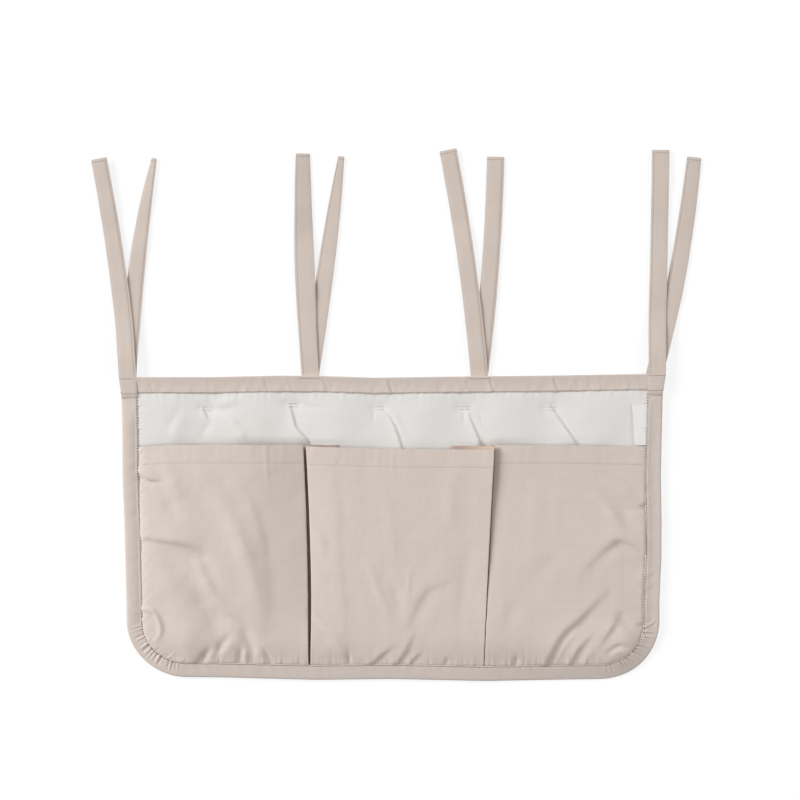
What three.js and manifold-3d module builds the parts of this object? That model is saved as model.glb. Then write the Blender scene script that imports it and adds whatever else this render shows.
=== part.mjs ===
// Crib organizer: a padded, bound panel with three pleated pockets and four folded tie straps.
// Millimetres. It lies on its back: +X to the right, +Y towards the ties, +Z up.
// The origin is the middle of the panel, on its back face.

import * as THREE from 'three';
import { mergeVertices } from 'three/addons/utils/BufferGeometryUtils.js';
import Module from 'manifold-3d';

const wasm = await Module();
wasm.setup();

// Panel outline
const panelHeight = 335;
const panelTopWidth = 603;
const panelBottomWidth = 592.5;
const cornerRadius = 67;
const cornerSegments = 8;

// Cloth, wadding and the gaps between sewn layers
const cloth = 0.6;
const layerGap = 0.3;
const edgeWadding = 1.5;
const tackWadding = 1.5;
const crownTop = 9.2;

// Bindings: the width that shows on the front
const edgeBindingWidth = 16.5;
const topBindingWidth = 18;
const noseSegments = 6;
const seamClearance = 0.4;

// How the quilted panel rises from its bound edge
const edgeFlat = 4;
const edgeRamp = 35;
const backFlat = 10;
const backRamp = 20;
const gridStep = 34;

// Bar tacks through the panel
const tackColumns = 5;
const tackRows = 3;
const tackSpacing = 95.6;
const tackRowDrop = 32.5;
const tackShift = -15.6;
const tackLength = 10;
const tackWidth = 3.4;
const tackThickness = 0.8;
const tackShankLength = 5;
const tackShankWidth = 1.4;
const tackClearance = 0.3;
const tackFlat = 1;
const tackSegments = 2;
const frontDimple = 38;
const backDimple = 18;

// Pockets
const mouthDrop = 76;
const middleMouthDrop = 3;
const hemDepth = 20;
const hemStep = 1;
const pocketPuff = 6;
const pleatedSidePuff = 4.5;
const puffRamp = 45;
const leftFoldTop = -96.6;
const leftFoldBottom = -94.7;
const middleLeftFoldTop = -93.8;
const middleLeftFoldBottom = -90.2;
const middleRightFoldTop = 113.4;
const middleRightFoldBottom = 101;
const pocketClearance = 1;

// Pleats between the pockets
const pleatDepth = 35;
const leftSeamTop = -95.2;
const leftSeamBottom = -92.4;
const rightSeamTop = 101;
const rightSeamBottom = 98.5;
const seamHalfGap = 0.3;
const pleatPeek = 0.6;

// Tie straps
const tieWidth = 20;
const tieThickness = 1.4;
const tieInsert = 9;
const tieOverhang = 0.6;
const cornerTieInset = 8.7;
const cornerTieLap = 22.3;
const leftTieX = -91.4;
const rightTieX = 96.8;
const tieReach = 243;
const tieStep = 20;
const tieDescent = 80;
const forkStart = 120;
const forkLength = 60;
const rollStart = 120;
const degrees = Math.PI / 180;

// Label in the right seam
const labelWidth = 13.5;
const labelLength = 45;
const labelThickness = 0.8;
const labelGap = 1;
const labelTilt = 5 * degrees;

// Finishes
const beige = new THREE.MeshStandardMaterial({ color: 0xd0c3b9, roughness: 0.95, metalness: 0 });
const white = new THREE.MeshStandardMaterial({ color: 0xdedcd8, roughness: 0.85, metalness: 0 });
const padding = new THREE.MeshStandardMaterial({ color: 0xf2f0ea, roughness: 1, metalness: 0 });
const thread = new THREE.MeshStandardMaterial({ color: 0xd9d6d1, roughness: 0.7, metalness: 0 });

// Levels of the layers at the bound edge, from the floor up
const layer = cloth + layerGap;
const backEdgeUnder = layer;
const waddingEdgeUnder = backEdgeUnder + layer;
const bottomLiningUnder = waddingEdgeUnder + edgeWadding + layerGap;
const pleatStack = 2 * layer;
const pocketSeat = bottomLiningUnder + layer + pleatStack;
const bindingFrontUnder = pocketSeat + layer;
const boundHeight = bindingFrontUnder + cloth;
const sideLiningUnder = pocketSeat - layer;
const noseRadius = boundHeight / 2;

// Levels at a bar tack
const tackBackUnder = tackThickness + layerGap;
const tackLiningUnder = tackBackUnder + layer + tackWadding + layerGap;

// Panel edges and insets
const topY = panelHeight / 2;
const bottomY = -panelHeight / 2;
const layerInset = noseRadius + layerGap;
const layerTopInset = tieInsert + layerGap;
const pocketInset = edgeBindingWidth + seamClearance;
const topBindingY = topY - topBindingWidth;
const hingeY = bottomY + pocketInset;
const mouthY = topY - mouthDrop;
const middleMouthY = mouthY - middleMouthDrop;
const pleatMouthY = mouthY + pleatPeek;

function smooth(start, end, value) {
  return THREE.MathUtils.smoothstep(value, start, end);
}

function mix(a, b, share) {
  return a + (b - a) * share;
}

// Outline of the panel, moved inwards: slanted sides, round bottom corners

const sideSlope = (panelTopWidth - panelBottomWidth) / 2 / panelHeight;
const sideLength = Math.hypot(1, sideSlope);

function halfWidthAt(y, inset) {
  return panelBottomWidth / 2 + (y - bottomY) * sideSlope - inset * sideLength;
}

function cornerCentre(inset) {
  const radius = cornerRadius - inset;
  const y = bottomY + inset + radius;
  return { x: halfWidthAt(y, inset + radius), y, radius };
}

const sideAngle = Math.atan(sideSlope);

function panelShape(inset, topInset) {
  const corner = cornerCentre(inset);
  const top = topY - topInset;
  const half = halfWidthAt(top, inset);
  const shape = new THREE.Shape();
  shape.moveTo(half, top);
  shape.lineTo(-half, top);
  shape.absarc(-corner.x, corner.y, corner.radius, Math.PI + sideAngle, 1.5 * Math.PI, false);
  shape.absarc(corner.x, corner.y, corner.radius, 1.5 * Math.PI, 2 * Math.PI - sideAngle, false);
  shape.closePath();
  return shape;
}

function edgeDistance(x, y) {
  const corner = cornerCentre(0);
  const across = Math.abs(x);
  const side = (halfWidthAt(y, 0) - across) / sideLength;
  const bottom = y - bottomY;
  const top = topY - y + edgeBindingWidth - topBindingWidth;
  let nearest = Math.min(side, bottom, top);
  if (across > corner.x && y < corner.y) {
    const reach = Math.hypot(across - corner.x, y - corner.y);
    nearest = Math.min(nearest, corner.radius - reach);
  }
  return nearest;
}

// Heights of the quilted layers

const tackXs = Array.from({ length: tackColumns }, (_, column) => {
  return tackShift + (column - (tackColumns - 1) / 2) * tackSpacing;
});
const tackYs = Array.from({ length: tackRows }, (_, row) => topY - tackRowDrop - row * tackSpacing);
const padX = tackLength / 2 + tackFlat;
const padY = tackWidth / 2 + tackFlat;

function dimple(x, y, radius) {
  let depth = 0;
  for (const tackX of tackXs) {
    for (const tackY of tackYs) {
      const dx = Math.max(Math.abs(x - tackX) - padX, 0);
      const dy = Math.max(Math.abs(y - tackY) - padY, 0);
      depth = Math.max(depth, 1 - smooth(0, radius, Math.hypot(dx, dy)));
    }
  }
  return depth;
}

function rise(distance) {
  return smooth(edgeBindingWidth + edgeFlat, edgeBindingWidth + edgeFlat + edgeRamp, distance);
}

function backUnder(x, y) {
  const start = edgeBindingWidth + backFlat;
  const plain = backEdgeUnder * (1 - smooth(start, start + backRamp, edgeDistance(x, y)));
  return mix(plain, tackBackUnder, dimple(x, y, backDimple));
}

function plainLiningUnder(x, y) {
  const edge = mix(bottomLiningUnder, sideLiningUnder, rise(y - bottomY));
  return mix(edge, crownTop - cloth, rise(edgeDistance(x, y)));
}

function liningUnder(x, y) {
  return mix(plainLiningUnder(x, y), tackLiningUnder, dimple(x, y, frontDimple));
}

// Grid lines shared by the layers and the pockets, so that stacked layers keep their gaps

function gridLines(needed) {
  const sorted = [...needed].sort((a, b) => a - b);
  const lines = [sorted[0]];
  for (const line of sorted.slice(1)) {
    const last = lines[lines.length - 1];
    const steps = Math.max(1, Math.ceil((line - last) / gridStep));
    for (let step = 1; step <= steps; step += 1) {
      lines.push(mix(last, line, step / steps));
    }
  }
  return lines;
}

const outerX = panelTopWidth / 2;
const flatX = halfWidthAt(bottomY, edgeBindingWidth + edgeFlat);
const panelXs = gridLines([
  -outerX, -flatX, flatX, outerX,
  ...tackXs.flatMap((x) => [x - padX, x + padX]),
]);
const panelYs = gridLines([
  bottomY, bottomY + edgeBindingWidth + edgeFlat, topBindingY - edgeFlat, topY,
  ...tackYs.flatMap((y) => [y - padY, y + padY]),
]);

// Solids and booleans

function toSolid(geometry) {
  const bare = geometry.clone();
  bare.deleteAttribute('normal');
  bare.deleteAttribute('uv');
  const merged = mergeVertices(bare);
  const vertProperties = new Float32Array(merged.attributes.position.array);
  const triVerts = new Uint32Array(merged.index.array);
  return new wasm.Manifold(new wasm.Mesh({ numProp: 3, vertProperties, triVerts }));
}

function toGeometry(solid) {
  const mesh = solid.getMesh();
  const geometry = new THREE.BufferGeometry();
  geometry.setAttribute('position', new THREE.BufferAttribute(new Float32Array(mesh.vertProperties), 3));
  geometry.setIndex(new THREE.BufferAttribute(new Uint32Array(mesh.triVerts), 1));
  geometry.computeVertexNormals();
  return geometry;
}

function prism(shape, low, high) {
  const options = { depth: high - low, bevelEnabled: false, curveSegments: cornerSegments };
  const geometry = new THREE.ExtrudeGeometry(shape, options);
  geometry.translate(0, 0, low);
  return geometry;
}

// A profile drawn in Y and Z, extruded along X and centred there
function barAlongX(profile, length, centreX, segments) {
  const options = { depth: length, bevelEnabled: false, curveSegments: segments };
  const geometry = new THREE.ExtrudeGeometry(profile, options);
  const turn = new THREE.Matrix4().makeBasis(
    new THREE.Vector3(0, 1, 0), new THREE.Vector3(0, 0, 1), new THREE.Vector3(1, 0, 0),
  );
  geometry.applyMatrix4(turn);
  geometry.translate(centreX - length / 2, 0, 0);
  return geometry;
}

// A sheet between two height functions over a grid
function sheet(xs, ys, under, over) {
  const columns = xs.length;
  const positions = [];
  for (const height of [under, over]) {
    for (const y of ys) {
      for (const x of xs) positions.push(x, y, height(x, y));
    }
  }
  const half = columns * ys.length;
  const index = [];
  const quad = (a, b, c, d) => index.push(a, b, c, a, c, d);
  for (let row = 0; row + 1 < ys.length; row += 1) {
    for (let column = 0; column + 1 < columns; column += 1) {
      const corner = row * columns + column;
      const ring = [corner, corner + 1, corner + columns + 1, corner + columns];
      const leftHalf = xs[column] + xs[column + 1] < 0;
      const [a, b, c, d] = leftHalf ? [ring[1], ring[2], ring[3], ring[0]] : ring;
      quad(half + a, half + b, half + c, half + d);
      index.push(a, c, b, a, d, c);
    }
  }
  const wall = (a, b) => quad(a, b, half + b, half + a);
  const lastRow = (ys.length - 1) * columns;
  for (let column = 0; column + 1 < columns; column += 1) {
    wall(column, column + 1);
    wall(lastRow + column + 1, lastRow + column);
  }
  for (let row = 0; row + 1 < ys.length; row += 1) {
    const start = row * columns;
    wall(start + columns, start);
    wall(start + columns - 1, start + 2 * columns - 1);
  }
  const geometry = new THREE.BufferGeometry();
  geometry.setAttribute('position', new THREE.Float32BufferAttribute(positions, 3));
  geometry.setIndex(index);
  return geometry;
}

// A solid through a row of rings that each hold the section's points, in its order
function closedLoft(rings, section) {
  const count = section.length;
  const index = [];
  for (let ring = 0; ring + 1 < rings.length; ring += 1) {
    for (let side = 0; side < count; side += 1) {
      const a = ring * count + side;
      const b = ring * count + (side + 1) % count;
      index.push(a, b, b + count, a, b + count, a + count);
    }
  }
  const last = (rings.length - 1) * count;
  const clockwise = THREE.ShapeUtils.isClockWise(section);
  for (const [a, b, c] of THREE.ShapeUtils.triangulateShape(section, [])) {
    const [second, third] = clockwise ? [c, b] : [b, c];
    index.push(third, second, a);
    index.push(last + a, last + second, last + third);
  }
  const positions = rings.flat().flatMap((point) => [point.x, point.y, point.z]);
  const geometry = new THREE.BufferGeometry();
  geometry.setAttribute('position', new THREE.Float32BufferAttribute(positions, 3));
  geometry.setIndex(index);
  geometry.computeVertexNormals();
  return geometry;
}

// The part

const organizer = new THREE.Group();

function add(name, geometry, material) {
  const mesh = new THREE.Mesh(geometry, material);
  mesh.name = name;
  organizer.add(mesh);
  return mesh;
}

// Quilted layers: back, wadding and lining, cut to the panel's outline and pierced for the tacks

const stadium = (length, width) => {
  const shape = new THREE.Shape();
  const radius = width / 2;
  const reach = length / 2 - radius;
  shape.absarc(reach, 0, radius, -Math.PI / 2, Math.PI / 2, false);
  shape.absarc(-reach, 0, radius, Math.PI / 2, 1.5 * Math.PI, false);
  shape.closePath();
  return shape;
};

function tackPrism(length, width, low, high) {
  const options = { depth: high - low, bevelEnabled: false, curveSegments: tackSegments };
  const geometry = new THREE.ExtrudeGeometry(stadium(length, width), options);
  geometry.translate(0, 0, low);
  return toSolid(geometry);
}

function quiltLayer(under, over) {
  const slab = toSolid(sheet(panelXs, panelYs, under, over));
  const outline = toSolid(prism(panelShape(layerInset, layerTopInset), -boundHeight, 2 * crownTop));
  let layerSolid = slab.intersect(outline);
  const hole = toSolid(new THREE.BoxGeometry(
    tackShankLength + 2 * tackClearance, tackShankWidth + 2 * tackClearance, 4 * crownTop,
  ));
  for (const x of tackXs) {
    for (const y of tackYs) layerSolid = layerSolid.subtract(hole.translate([x, y, 0]));
  }
  return toGeometry(layerSolid);
}

const backOver = (x, y) => backUnder(x, y) + cloth;
const waddingUnder = (x, y) => backOver(x, y) + layerGap;
const waddingOver = (x, y) => liningUnder(x, y) - layerGap;
const liningOver = (x, y) => liningUnder(x, y) + cloth;

add('back_panel', quiltLayer(backUnder, backOver), beige);
add('wadding', quiltLayer(waddingUnder, waddingOver), padding);
add('front_lining', quiltLayer(liningUnder, liningOver), white);

// Bar tacks: a satin bar on each side of the panel and the threads between them

const tackFrontUnder = tackLiningUnder + cloth + layerGap;
const tackBar = tackPrism(tackLength, tackWidth, 0, tackThickness);
const tackShank = tackPrism(
  tackShankLength, tackShankWidth, tackThickness / 2, tackFrontUnder + tackThickness / 2,
);
const tackGeometry = toGeometry(
  tackBar.add(tackShank).add(tackBar.translate([0, 0, tackFrontUnder])),
);
tackYs.forEach((y, row) => {
  tackXs.forEach((x, column) => {
    const tack = add(`tack_${row + 1}_${column + 1}`, tackGeometry, thread);
    tack.position.set(x, y, 0);
  });
});

// Edge binding: one folded tape swept down the left side, along the bottom and up the right side

function foldedSection(width) {
  const section = [new THREE.Vector2(width, 0)];
  for (let step = 0; step <= noseSegments; step += 1) {
    const angle = Math.PI * (step / noseSegments - 0.5);
    const up = noseRadius * (1 + Math.sin(angle));
    section.push(new THREE.Vector2(noseRadius * (1 - Math.cos(angle)), up));
  }
  section.push(new THREE.Vector2(width, boundHeight));
  section.push(new THREE.Vector2(width, boundHeight - cloth));
  const inner = noseRadius - cloth;
  for (let step = noseSegments; step >= 0; step -= 1) {
    const angle = Math.PI * (step / noseSegments - 0.5);
    const up = noseRadius + inner * Math.sin(angle);
    section.push(new THREE.Vector2(noseRadius - inner * Math.cos(angle), up));
  }
  section.push(new THREE.Vector2(width, cloth));
  return section;
}

function edgeBinding() {
  const section = foldedSection(edgeBindingWidth).reverse();
  const endY = topBindingY - layerGap;
  const corner = cornerCentre(0);
  const rings = [];
  rings.push(section.map(({ x, y }) => new THREE.Vector3(-halfWidthAt(endY, x), endY, y)));
  for (const side of [-1, 1]) {
    for (let step = 0; step <= cornerSegments; step += 1) {
      const share = side < 0 ? 1 - step / cornerSegments : step / cornerSegments;
      const angle = mix(-Math.PI / 2, -sideAngle, share);
      rings.push(section.map(({ x, y }) => new THREE.Vector3(
        side * (corner.x + (corner.radius - x) * Math.cos(angle)),
        corner.y + (corner.radius - x) * Math.sin(angle),
        y,
      )));
    }
  }
  rings.push(section.map(({ x, y }) => new THREE.Vector3(halfWidthAt(endY, x), endY, y)));
  return closedLoft(rings, section);
}

add('edge_binding', edgeBinding(), beige);

// Tie straps: each is folded in half, and its fold is sewn to the panel

const stackHeight = 2 * tieThickness + layerGap;
const tieEndY = topY + tieOverhang;
const tieBaseY = tieEndY + layerGap;
const cornerTieX = panelTopWidth / 2 - cornerTieInset;
const cornerTieUnder = boundHeight + layerGap;
const innerTieUnder = noseRadius - stackHeight / 2;

function foldProfile(foldY, under) {
  const radius = stackHeight / 2;
  const middle = under + radius;
  const profile = new THREE.Shape();
  profile.moveTo(tieEndY, under + tieThickness + layerGap);
  profile.lineTo(tieEndY, under + stackHeight);
  profile.absarc(foldY + radius, middle, radius, Math.PI / 2, 1.5 * Math.PI, false);
  profile.lineTo(tieEndY, under);
  profile.lineTo(tieEndY, under + tieThickness);
  profile.lineTo(foldY + radius, under + tieThickness);
  profile.lineTo(foldY + radius, under + tieThickness + layerGap);
  profile.closePath();
  return profile;
}

// Top binding: a folded band with closed ends and a slot for each inner tie

function bandProfile(openY, thickness) {
  const radius = noseRadius - thickness;
  const profile = new THREE.Shape();
  profile.moveTo(openY, boundHeight - thickness);
  profile.lineTo(openY, thickness);
  profile.absarc(topY - noseRadius, noseRadius, radius, -Math.PI / 2, Math.PI / 2, false);
  profile.closePath();
  return profile;
}

function topBinding() {
  const outside = toSolid(barAlongX(bandProfile(topBindingY, 0), panelTopWidth, 0, noseSegments));
  const insideLength = panelTopWidth - 2 * cloth;
  const inside = toSolid(barAlongX(bandProfile(topBindingY - cloth, cloth), insideLength, 0, noseSegments));
  let band = outside.subtract(inside);
  for (const x of [leftTieX, rightTieX]) {
    const slot = new THREE.BoxGeometry(
      tieWidth + 2 * seamClearance, 2 * noseRadius, stackHeight + 2 * seamClearance,
    );
    slot.translate(x, topY, noseRadius);
    band = band.subtract(toSolid(slot));
  }
  return toGeometry(band);
}

add('top_binding', topBinding(), beige);

// A tail is a flat ribbon that leaves its root, comes down and lies along the floor.
// length, middleLean and tipLean are shares of tieReach: how long the tail is, and how far its
// middle and tip stray sideways. roll turns its far end on edge.

function tieTail({ x, under, length, middleLean, tipLean, roll, rest }) {
  const reach = length * tieReach;
  const bend = (4 * middleLean - tipLean) * tieReach;
  const curl = (2 * tipLean - 4 * middleLean) * tieReach;
  const section = [
    new THREE.Vector2(-tieWidth / 2, tieThickness / 2),
    new THREE.Vector2(tieWidth / 2, tieThickness / 2),
    new THREE.Vector2(tieWidth / 2, -tieThickness / 2),
    new THREE.Vector2(-tieWidth / 2, -tieThickness / 2),
  ];
  const stations = [];
  for (let along = 0; along < reach; along += tieStep) stations.push(along);
  const rings = [...stations, reach].map((along) => {
    const share = along / reach;
    const rolled = Math.max(0, along - rollStart) / (reach - rollStart);
    const turn = roll * Math.sin(Math.PI / 2 * rolled);
    const lowEdge = tieWidth / 2 * Math.abs(Math.sin(turn)) + tieThickness / 2 * Math.cos(turn);
    const floor = rest * (1 - smooth(forkStart, forkStart + forkLength, along)) + lowEdge;
    const height = mix(under + tieThickness / 2, floor, smooth(0, tieDescent, along));
    const centreX = x + bend * share + curl * share * share;
    const slope = Math.atan((bend + 2 * curl * share) / reach);
    const skew = slope * smooth(tieDescent, tieDescent + tieWidth, along);
    return section.map((corner) => {
      const across = corner.x * Math.cos(turn) - corner.y * Math.sin(turn);
      const up = corner.x * Math.sin(turn) + corner.y * Math.cos(turn);
      return new THREE.Vector3(
        centreX + across * Math.cos(skew), tieBaseY + along - across * Math.sin(skew), height + up,
      );
    });
  });
  return closedLoft(rings, section);
}

const ties = [
  {
    x: -cornerTieX,
    corner: true,
    front: { length: 1, middleLean: -0.0514, tipLean: -0.135, roll: 0 },
    back: { length: 1.004, middleLean: 0.0424, tipLean: 0.1165, roll: 65 * degrees },
  },
  {
    x: leftTieX,
    corner: false,
    front: { length: 1.021, middleLean: -0.0206, tipLean: -0.0333, roll: 0 },
    back: { length: 1.012, middleLean: 0.0741, tipLean: 0.144, roll: 65 * degrees },
  },
  {
    x: rightTieX,
    corner: false,
    front: { length: 1.033, middleLean: -0.0543, tipLean: -0.1416, roll: 0 },
    back: { length: 1.004, middleLean: 0.051, tipLean: 0.0753, roll: 0 },
  },
  {
    x: cornerTieX,
    corner: true,
    front: { length: 1.037, middleLean: 0.0152, tipLean: 0.0247, roll: 0 },
    back: { length: 1, middleLean: 0.1029, tipLean: 0.1753, roll: -35 * degrees },
  },
];

ties.forEach(({ x, corner, front, back }, index) => {
  const under = corner ? cornerTieUnder : innerTieUnder;
  const foldY = corner ? topY - cornerTieLap : topY - tieInsert;
  const name = `tie_${index + 1}`;
  add(`${name}_root`, barAlongX(foldProfile(foldY, under), tieWidth, x, noseSegments), beige);
  const frontUnder = under + tieThickness + layerGap;
  const frontRest = tieThickness + layerGap;
  add(`${name}_back`, tieTail({ x, under, rest: 0, ...back }), beige);
  add(`${name}_front`, tieTail({ x, under: frontUnder, rest: frontRest, ...front }), beige);
});

// Pocket fronts: crowned sheets with a hem at the mouth, sewn at the bottom and the outer sides

function foldLine(topX, bottomX) {
  return (y) => mix(bottomX, topX, (y - bottomY) / (mouthY - bottomY));
}

const leftFold = foldLine(leftFoldTop, leftFoldBottom);
const middleLeftFold = foldLine(middleLeftFoldTop, middleLeftFoldBottom);
const middleRightFold = foldLine(middleRightFoldTop, middleRightFoldBottom);
const rightFold = (y) => middleRightFold(y) + pocketClearance;
const leftEdge = (y) => -halfWidthAt(y, pocketInset);
const rightEdge = (y) => halfWidthAt(y, pocketInset);

function pocketFront(leftSide, rightSide, leftPuff, rightPuff, mouth) {
  const puff = (x, y) => {
    const fromLeft = mix(leftPuff, pocketPuff, smooth(0, puffRamp, x - leftSide(y)));
    const fromRight = mix(rightPuff, pocketPuff, smooth(0, puffRamp, rightSide(y) - x));
    const spread = 1 - (1 - rise(y - bottomY)) ** 2;
    return Math.min(fromLeft, fromRight) * spread;
  };
  const under = (x, y) => {
    return mix(pocketSeat, crownTop + layerGap, rise(edgeDistance(x, y))) + puff(x, y);
  };
  const hemY = mouth - hemDepth;
  const over = (x, y) => under(x, y) + cloth + cloth * smooth(hemY - hemStep, hemY, y);
  const farLeft = Math.min(leftSide(bottomY), leftSide(mouth));
  const farRight = Math.max(rightSide(bottomY), rightSide(mouth));
  const xs = [farLeft, ...panelXs.filter((x) => x > farLeft && x < farRight), farRight];
  const ys = [...panelYs.filter((y) => y < mouth), hemY - hemStep, hemY, mouth].sort((a, b) => a - b);
  const outline = new THREE.Shape([
    new THREE.Vector2(leftSide(bottomY), bottomY),
    new THREE.Vector2(rightSide(bottomY), bottomY),
    new THREE.Vector2(rightSide(mouth), mouth),
    new THREE.Vector2(leftSide(mouth), mouth),
  ]);
  const high = 2 * crownTop + 2 * pocketPuff;
  const solid = toSolid(sheet(xs, ys, under, over))
    .intersect(toSolid(prism(outline, 0, high)))
    .intersect(toSolid(prism(panelShape(pocketInset, 0), 0, high)));
  return toGeometry(solid);
}

add('left_pocket', pocketFront(leftEdge, leftFold, 0, pleatedSidePuff, mouthY), beige);
add('middle_pocket', pocketFront(
  middleLeftFold, middleRightFold, pleatedSidePuff, pleatedSidePuff, middleMouthY,
), beige);
add('right_pocket', pocketFront(rightFold, rightEdge, pleatedSidePuff, 0, mouthY), beige);

// Pleats: the two leaves under a pocket's free side, from its fold back to the seam on the lining

function pleat(seam, fold, side) {
  const ys = [hingeY, ...panelYs.filter((y) => y > hingeY && y < pleatMouthY), pleatMouthY];
  const rings = [];
  let section = [];
  for (const y of ys) {
    const low = plainLiningUnder(0, y) + layer;
    const turnX = seam(y) + side * pleatDepth;
    const inX = turnX - side * cloth;
    section = [
      new THREE.Vector2(seam(y), low),
      new THREE.Vector2(turnX, low),
      new THREE.Vector2(turnX, low + layer + cloth),
      new THREE.Vector2(fold(y), low + layer + cloth),
      new THREE.Vector2(fold(y), low + layer),
      new THREE.Vector2(inX, low + layer),
      new THREE.Vector2(inX, low + cloth),
      new THREE.Vector2(seam(y), low + cloth),
    ];
    if (side > 0) section.reverse();
    rings.push(section.map((point) => new THREE.Vector3(point.x, y, point.y)));
  }
  return closedLoft(rings, section);
}

const leftSeam = foldLine(leftSeamTop, leftSeamBottom);
const rightSeam = foldLine(rightSeamTop, rightSeamBottom);
const leftOf = (seam) => (y) => seam(y) - seamHalfGap;
const rightOf = (seam) => (y) => seam(y) + seamHalfGap;

add('left_pocket_pleat', pleat(leftOf(leftSeam), leftFold, -1), beige);
add('middle_pocket_left_pleat', pleat(rightOf(leftSeam), middleLeftFold, 1), beige);
add('middle_pocket_right_pleat', pleat(leftOf(rightSeam), middleRightFold, -1), beige);
add('right_pocket_pleat', pleat(rightOf(rightSeam), rightFold, 1), beige);

// Side label: a bare folded flag that leaves the right seam and lies on the lining

const label = add('side_label', new THREE.BoxGeometry(labelWidth, labelLength, labelThickness), white);
label.geometry.translate(-labelWidth / 2, 0, labelThickness / 2);
const labelY = mouthY + labelGap + labelLength / 2;
label.position.set(rightEdge(labelY - labelLength / 2), labelY, sideLiningUnder + layer);
label.rotation.y = labelTilt;

export default organizer;
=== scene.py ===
"""Looks of the crib organizer: a quilted panel with bound edges, three pleated pockets and four ties.

Lengths are millimetres in the part's own frame, and MM turns them into metres.
"""

import bpy
import numpy as np
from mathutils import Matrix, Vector


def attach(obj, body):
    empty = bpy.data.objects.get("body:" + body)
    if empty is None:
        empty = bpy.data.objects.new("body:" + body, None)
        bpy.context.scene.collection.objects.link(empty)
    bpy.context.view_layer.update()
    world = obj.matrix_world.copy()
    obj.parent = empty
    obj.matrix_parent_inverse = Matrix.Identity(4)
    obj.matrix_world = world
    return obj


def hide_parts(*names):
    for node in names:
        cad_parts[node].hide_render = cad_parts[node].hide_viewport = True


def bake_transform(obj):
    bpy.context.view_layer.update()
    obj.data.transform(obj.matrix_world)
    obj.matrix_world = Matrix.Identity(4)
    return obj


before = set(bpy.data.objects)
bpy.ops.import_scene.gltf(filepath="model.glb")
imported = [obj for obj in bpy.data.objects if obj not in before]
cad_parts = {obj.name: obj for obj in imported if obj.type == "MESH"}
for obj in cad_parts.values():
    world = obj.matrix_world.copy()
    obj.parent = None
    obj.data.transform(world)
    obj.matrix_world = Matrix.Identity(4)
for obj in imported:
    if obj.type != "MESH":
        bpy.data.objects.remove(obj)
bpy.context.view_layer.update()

MM = 0.001
scene = bpy.context.scene

# Panel outline and bindings
TOP = 167.5
BOTTOM = -167.5
TOP_WIDTH = 603
BOTTOM_WIDTH = 592.5
CORNER_RADIUS = 67
EDGE_TAPE = 16.5
SIDE_EXTRA = 1.6
TOP_BAND = 18
NOSE = 3.9
STITCH_INSET = 0.8
BAND_STITCH_INSET = 0.9

# Heights of the layers
SEAM_SEAT = 7.2
LINING_SEAT = 7.1
LINING_CROWN = 8.0
HIDDEN_LINING = 6.3
LOWEST_LINING = 2.6
COVERED_CROWN = 6.4
COVERED_SEAT = 5.0
SEAM_DIP = 5.0
CLOTH = 0.6

# Pockets
MOUTH = 91.5
HEM = 20
POCKET_RISE = 5.8
POCKET_PUFF = 2.2
FOLD_DEPTH = 1.6
SEAM_TUCK = 3

# Ties
TIE_WIDTH = 19.4
TIE_THICKNESS = 1.5
TIE_BASE = 168.4
TIE_DESCENT = 80
FORK_START = 120
FORK_END = 180
CORNER_TIE_X = 292.8
CORNER_TIE_UNDER = 8.1
INNER_TIE_UNDER = 2.35
INNER_TIE_XS = (-91.4, 96.8)
SEAM_SPOT = 0.76
SEAM_LIFT = 0.08

# Bar tacks
TACK_SPACING = 95.6
TACK_XS = [-206.8, -111.2, -15.6, 80, 175.6]
TACK_YS = [135, 39.4, -56.2]
TACK_STRAY = [-1.8, 0.6, -1.2, -1.6, -3.2]
TACK_PULLS = [(1.0, 24), (0.9, 6)]
QUILT_WAVE = 0.7

# Sewing
STITCH_STEP = 3.1
STITCH_LENGTH = 1.3
THREAD = 0.54


# Small helpers on arrays


def smooth(start, end, value):
    share = np.clip((value - start) / (end - start), 0, 1)
    return share * share * (3 - 2 * share)


def mix(a, b, share):
    return a + (b - a) * share


def bulge(share):
    return 1 - (1 - np.clip(share, 0, 1)) ** 2


def bell(distance, width):
    return np.exp(-((distance / width) ** 2))


def unit(rows):
    """The same directions with a length of one."""
    return rows / np.linalg.norm(rows, axis=-1, keepdims=True)


def ripple(along, spacing, seed):
    """Uneven waves from -1 to 1 along a line, about spacing apart."""
    dice = np.random.default_rng(seed)
    total = np.zeros_like(np.asarray(along, float))
    for stretch in (0.73, 1.0, 1.41, 2.3):
        total += np.sin(2 * np.pi * along / (spacing * stretch) + dice.uniform(0, 2 * np.pi))
    return total / 4


def rumple(x, y, size, seed):
    """Soft uneven hills from about -1 to 1, about size across."""
    dice = np.random.default_rng(seed)
    total = np.zeros(np.broadcast(x, y).shape)
    for _ in range(7):
        turn = dice.uniform(0, np.pi)
        length = size * dice.uniform(0.7, 1.8)
        phase = dice.uniform(0, 2 * np.pi)
        total += np.sin(2 * np.pi * (x * np.cos(turn) + y * np.sin(turn)) / length + phase)
    return total / 4


def curve(points, steps=10):
    """A smooth line through a few points."""
    points = np.asarray(points, float)
    first = 2 * points[0] - points[1]
    last = 2 * points[-1] - points[-2]
    padded = np.vstack([first, points, last])
    share = np.linspace(0, 1, steps, endpoint=False)[:, None]
    pieces = []
    for a, b, c, d in zip(padded, padded[1:], padded[2:], padded[3:]):
        straight = 2 * b + (c - a) * share
        bent = (2 * a - 5 * b + 4 * c - d) * share**2 + (3 * b - a - 3 * c + d) * share**3
        pieces.append((straight + bent) / 2)
    return np.vstack([*pieces, points[-1:]])


def fold(height, width, *points, start=0.4, end=0.2):
    """A ridge, or a valley if height is negative: its strength is start, 1 and end along it."""
    return tuck(height, width, *points, start=start, end=end, step=0)


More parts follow.
